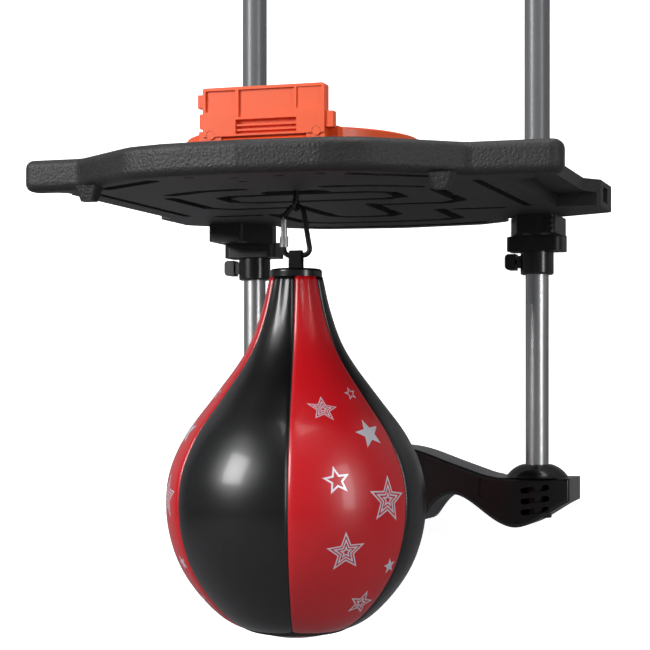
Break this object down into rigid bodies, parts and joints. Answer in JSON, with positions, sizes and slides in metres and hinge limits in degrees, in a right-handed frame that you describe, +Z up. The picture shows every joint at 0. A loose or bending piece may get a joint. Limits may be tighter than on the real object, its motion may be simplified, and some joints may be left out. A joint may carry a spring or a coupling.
{
  "type": "boxing punch machine",
  "caption": "Over-the-door punch trainer: teardrop speed bag on a swivel link under a moulded platform, tube frame, lower stabiliser bar and folded hoop.",
  "frame": {"origin": "middle of the door's top edge at the door's front face, where the hooks rest", "axes": "+Z up, +X to the right of someone facing the door, +Y into the door"},
  "size_m": [0.468, 0.55, 0.7323],
  "materials": {
    "grey_powder_coat": "satin powder coat",
    "black_powder_coat": "satin powder coat",
    "chrome_tube": "bright plating",
    "charcoal_plastic": "coarse moulded grain",
    "black_plastic": "fine moulded texture",
    "gloss_black_plastic": "smooth moulding",
    "zinc_steel": "zinc plate",
    "black_steel": "black oxide",
    "chrome_gate": "bright plating",
    "red_vinyl": "gloss vinyl with a faint weave and silver stars",
    "black_vinyl": "gloss vinyl with a faint weave",
    "bladder_rubber": "smooth",
    "black_webbing": "woven",
    "orange_plastic": "smooth moulding",
    "pale_rubber": "soft",
    "black_foam": "foam",
    "natural_nylon": "smooth"
  },
  "bodies": {
    "frame": {"upper_tube_left": "grey_powder_coat", "upper_tube_right": "grey_powder_coat", "door_hook_left": "black_powder_coat", "door_hook_right": "black_powder_coat", "hook_pads": "black_foam", "board": "charcoal_plastic", "bracket_body_left": "black_plastic", "bracket_body_right": "black_plastic", "bracket_clamp_left": "black_plastic", "bracket_clamp_right": "black_plastic", "clamp_screws": "zinc_steel", "board_screws": "zinc_steel", "board_nuts": "zinc_steel", "lock_sleeve_left": "gloss_black_plastic", "lock_sleeve_right": "gloss_black_plastic", "eye_bolt": "black_steel", "eye_washers": "zinc_steel", "eye_nut": "zinc_steel", "hoop_hinge_base": "orange_plastic", "hoop_hinge_pin": "zinc_steel", "hoop_base_screws": "zinc_steel"},
    "lower_frame": {"lower_tube_left": "chrome_tube", "lower_tube_right": "chrome_tube", "tube_glides": "natural_nylon", "crossbar_front": "gloss_black_plastic", "crossbar_back": "gloss_black_plastic", "crossbar_collar_left": "gloss_black_plastic", "crossbar_collar_right": "gloss_black_plastic", "door_bumpers": "pale_rubber", "crossbar_screws": "zinc_steel"},
    "button_left": {"lock_button_left": "black_plastic"},
    "button_right": {"lock_button_right": "black_plastic"},
    "hoop": {"hoop_plate": "orange_plastic", "hoop_ring": "orange_plastic", "hoop_pegs": "orange_plastic"},
    "carabiner": {"carabiner_frame": "black_steel", "gate_pin": "zinc_steel"},
    "gate": {"carabiner_gate": "chrome_gate"},
    "gate_collar": {"gate_collar": "chrome_gate"},
    "bag": {"bag_panels_red": "red_vinyl", "bag_panels_black": "black_vinyl", "bag_bladder": "bladder_rubber", "bag_collar": "black_vinyl", "bag_loop": "black_webbing"}
  },
  "joints": [
    {"name": "telescoping", "type": "slide", "parent": "frame", "child": "lower_frame", "axis": [0, 0, 1], "range_m": [-0.08, 0.1]},
    {"name": "button_left_push", "type": "slide", "parent": "frame", "child": "button_left", "axis": [1, 0, 0], "range_m": [0, 0.0015], "stiffness_N_per_m": 800, "springref_m": -0.001},
    {"name": "button_right_push", "type": "slide", "parent": "frame", "child": "button_right", "axis": [1, 0, 0], "range_m": [0, 0.0015], "stiffness_N_per_m": 800, "springref_m": -0.001},
    {"name": "hoop_fold", "type": "hinge", "parent": "frame", "child": "hoop", "pos_m": [0, -0.437, -0.3115], "axis": [1, 0, 0], "range_deg": [0, 90]},
    {"name": "side_swing", "type": "hinge", "parent": "frame", "child": "carabiner", "pos_m": [0, -0.358, -0.3605], "axis": [0, 1, 0], "range_deg": [-45, 45]},
    {"name": "gate_open", "type": "hinge", "parent": "carabiner", "child": "gate", "pos_m": [-0.011, -0.358, -0.3665], "axis": [0, -1, 0], "range_deg": [0, 25], "stiffness_Nm_per_rad": 0.02, "springref_deg": -17.19},
    {"name": "gate_collar_slide", "type": "slide", "parent": "gate", "child": "gate_collar", "axis": [0, 0, 1], "range_m": [0, 0.008]},
    {"name": "bag_swing", "type": "hinge", "parent": "carabiner", "child": "bag", "pos_m": [0, -0.358, -0.39925], "axis": [1, 0, 0], "range_deg": [-50, 40]}
  ]
}
